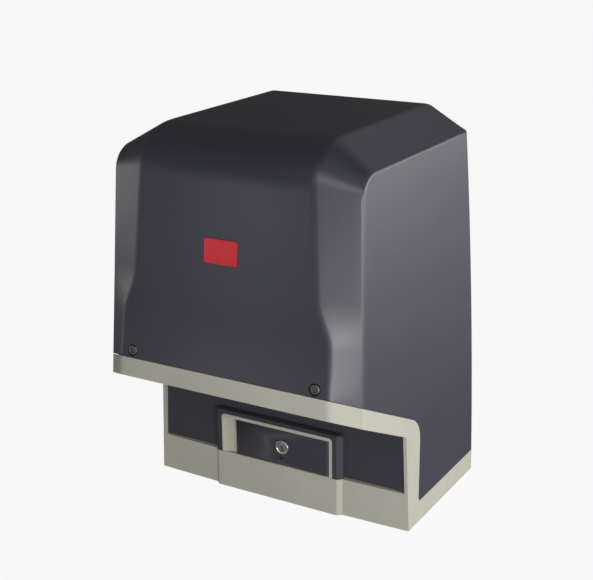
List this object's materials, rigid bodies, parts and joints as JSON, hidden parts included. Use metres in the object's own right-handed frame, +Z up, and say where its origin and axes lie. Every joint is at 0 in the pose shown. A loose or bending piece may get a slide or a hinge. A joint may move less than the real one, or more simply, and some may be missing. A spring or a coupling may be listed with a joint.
{
  "type": "sliding gate motor",
  "caption": "Sliding gate operator with a lift-off hood, keyed release door, worm gearbox and a toothed rack pinion at the back.",
  "frame": {"origin": "centre of the four foundation bolts, on the underside of the base", "axes": "+Z up; -Y is the front with the release door; +Y is the gate side with the pinion; +X is the right side seen from the front"},
  "size_m": [0.25, 0.2762, 0.3336],
  "materials": {
    "hood_plastic": "anthracite, semi-gloss, fine moulded grain",
    "base_coating": "warm light grey, satin",
    "panel_plastic": "anthracite, satin",
    "badge_red": "plain red, gloss",
    "zinc_steel": "zinc plated",
    "lock_metal": "satin nickel",
    "plug_brass": "worn brass",
    "cast_aluminium": "as cast",
    "steel": "machined",
    "bronze": "machined bronze",
    "rubber": "matt black",
    "gasket_fibre": "fibre sheet",
    "copper": "copper and laminated iron",
    "magnet": "ferrite",
    "board_green": "solder mask",
    "terminal_green": "moulded",
    "black_plastic": "moulded",
    "grey_plastic": "moulded",
    "winding_tape": "varnished tape",
    "display_glass": "dark display window"
  },
  "bodies": {
    "root": {"base_shell": "base_coating", "front_panel": "panel_plastic", "release_frame": "base_coating", "cable_grommet": "rubber", "gear_case": "cast_aluminium", "case_cover": "cast_aluminium", "case_gasket": "gasket_fibre", "case_cover_screws": "zinc_steel", "gear_case_bolts": "zinc_steel", "main_bearings": "steel", "shaft_seal": "rubber", "worm_bearing_lower": "steel", "worm_bearing_upper": "steel", "motor_flange": "cast_aluminium", "motor_can": "zinc_steel", "motor_bolts": "zinc_steel", "motor_magnets": "magnet", "motor_end_cap": "black_plastic", "motor_brushes": "magnet", "motor_bearing": "steel", "encoder_board": "board_green", "transformer_plates": "zinc_steel", "transformer": "winding_tape", "transformer_bolt": "zinc_steel", "board_tray": "grey_plastic", "tray_screws": "zinc_steel", "control_board": "board_green", "terminal_blocks": "terminal_green", "relays": "black_plastic", "board_display": "display_glass", "button_switches": "grey_plastic", "limit_switch": "black_plastic", "release_spring": "steel"},
    "cover": {"hood": "hood_plastic", "badge_plate": "badge_red", "hood_screws": "zinc_steel", "hood_nuts": "zinc_steel"},
    "door": {"release_door": "panel_plastic", "hinge_pin": "steel", "release_cam": "steel", "lock_housing": "lock_metal"},
    "lock": {"lock_plug": "plug_brass", "lock_tongue": "zinc_steel"},
    "yoke": {"release_yoke": "cast_aluminium"},
    "output": {"output_shaft": "steel", "shaft_keys": "steel", "pinion": "steel", "pinion_washer": "zinc_steel", "pinion_bolt": "zinc_steel"},
    "wheel": {"wheel_rim": "bronze", "wheel_hub": "steel"},
    "clutch": {"clutch_ring": "steel"},
    "rotor": {"worm_shaft": "steel", "rotor_core": "copper", "commutator": "copper", "encoder_wheel": "black_plastic"},
    "lever": {"limit_lever": "grey_plastic"},
    "minus_key": {"button_minus": "black_plastic"},
    "ok_key": {"button_ok": "black_plastic"},
    "plus_key": {"button_plus": "black_plastic"}
  },
  "joints": [
    {"name": "rotor_spin", "type": "hinge", "parent": "root", "child": "rotor", "pos_m": [-0.05, 0.023, 0.09], "axis": [0, 0, 1], "continuous": true},
    {"name": "output_spin", "type": "hinge", "parent": "root", "child": "output", "pos_m": [0, 0.02, 0.092], "axis": [0, 1, 0], "continuous": true},
    {"name": "wheel_spin", "type": "hinge", "parent": "root", "child": "wheel", "pos_m": [0, 0.023, 0.092], "axis": [0, 1, 0], "continuous": true},
    {"name": "clutch_slide", "type": "slide", "parent": "output", "child": "clutch", "axis": [0, -1, 0], "range_m": [0, 0.00705]},
    {"name": "yoke_slide", "type": "slide", "parent": "root", "child": "yoke", "axis": [0, -1, 0], "range_m": [0, 0.00705], "deforming": ["release_spring"]},
    {"name": "door_hinge", "type": "hinge", "parent": "root", "child": "door", "pos_m": [0.04895, -0.0708, 0.051], "axis": [0, 0, 1], "range_deg": [0, 90]},
    {"name": "lock_turn", "type": "hinge", "parent": "door", "child": "lock", "pos_m": [0.0063, -0.07, 0.051], "axis": [0, 1, 0], "range_deg": [0, 90]},
    {"name": "cover_lift", "type": "slide", "parent": "root", "child": "cover", "axis": [0, 0.1045, 0.9945], "range_m": [0, 0.34]},
    {"name": "lever_swing", "type": "hinge", "parent": "root", "child": "lever", "pos_m": [0, 0.0788, 0.15], "axis": [0, 1, 0], "range_deg": [-25, 25], "stiffness_Nm_per_rad": 0.3},
    {"name": "minus_press", "type": "slide", "parent": "root", "child": "minus_key", "axis": [0, 1, 0], "range_m": [0, 0.0006], "stiffness_N_per_m": 400, "springref_m": -0.001},
    {"name": "ok_press", "type": "slide", "parent": "root", "child": "ok_key", "axis": [0, 1, 0], "range_m": [0, 0.0006], "stiffness_N_per_m": 400, "springref_m": -0.001},
    {"name": "plus_press", "type": "slide", "parent": "root", "child": "plus_key", "axis": [0, 1, 0], "range_m": [0, 0.0006], "stiffness_N_per_m": 400, "springref_m": -0.001}
  ],
  "couplings": [
    {"joint": "output_spin", "follows": "rotor_spin", "ratio": -0.03125},
    {"joint": "wheel_spin", "follows": "rotor_spin", "ratio": -0.03125},
    {"joint": "yoke_slide", "follows": "door_hinge", "m_per_rad": 0.0044563},
    {"joint": "clutch_slide", "follows": "door_hinge", "m_per_rad": 0.0044563}
  ]
}
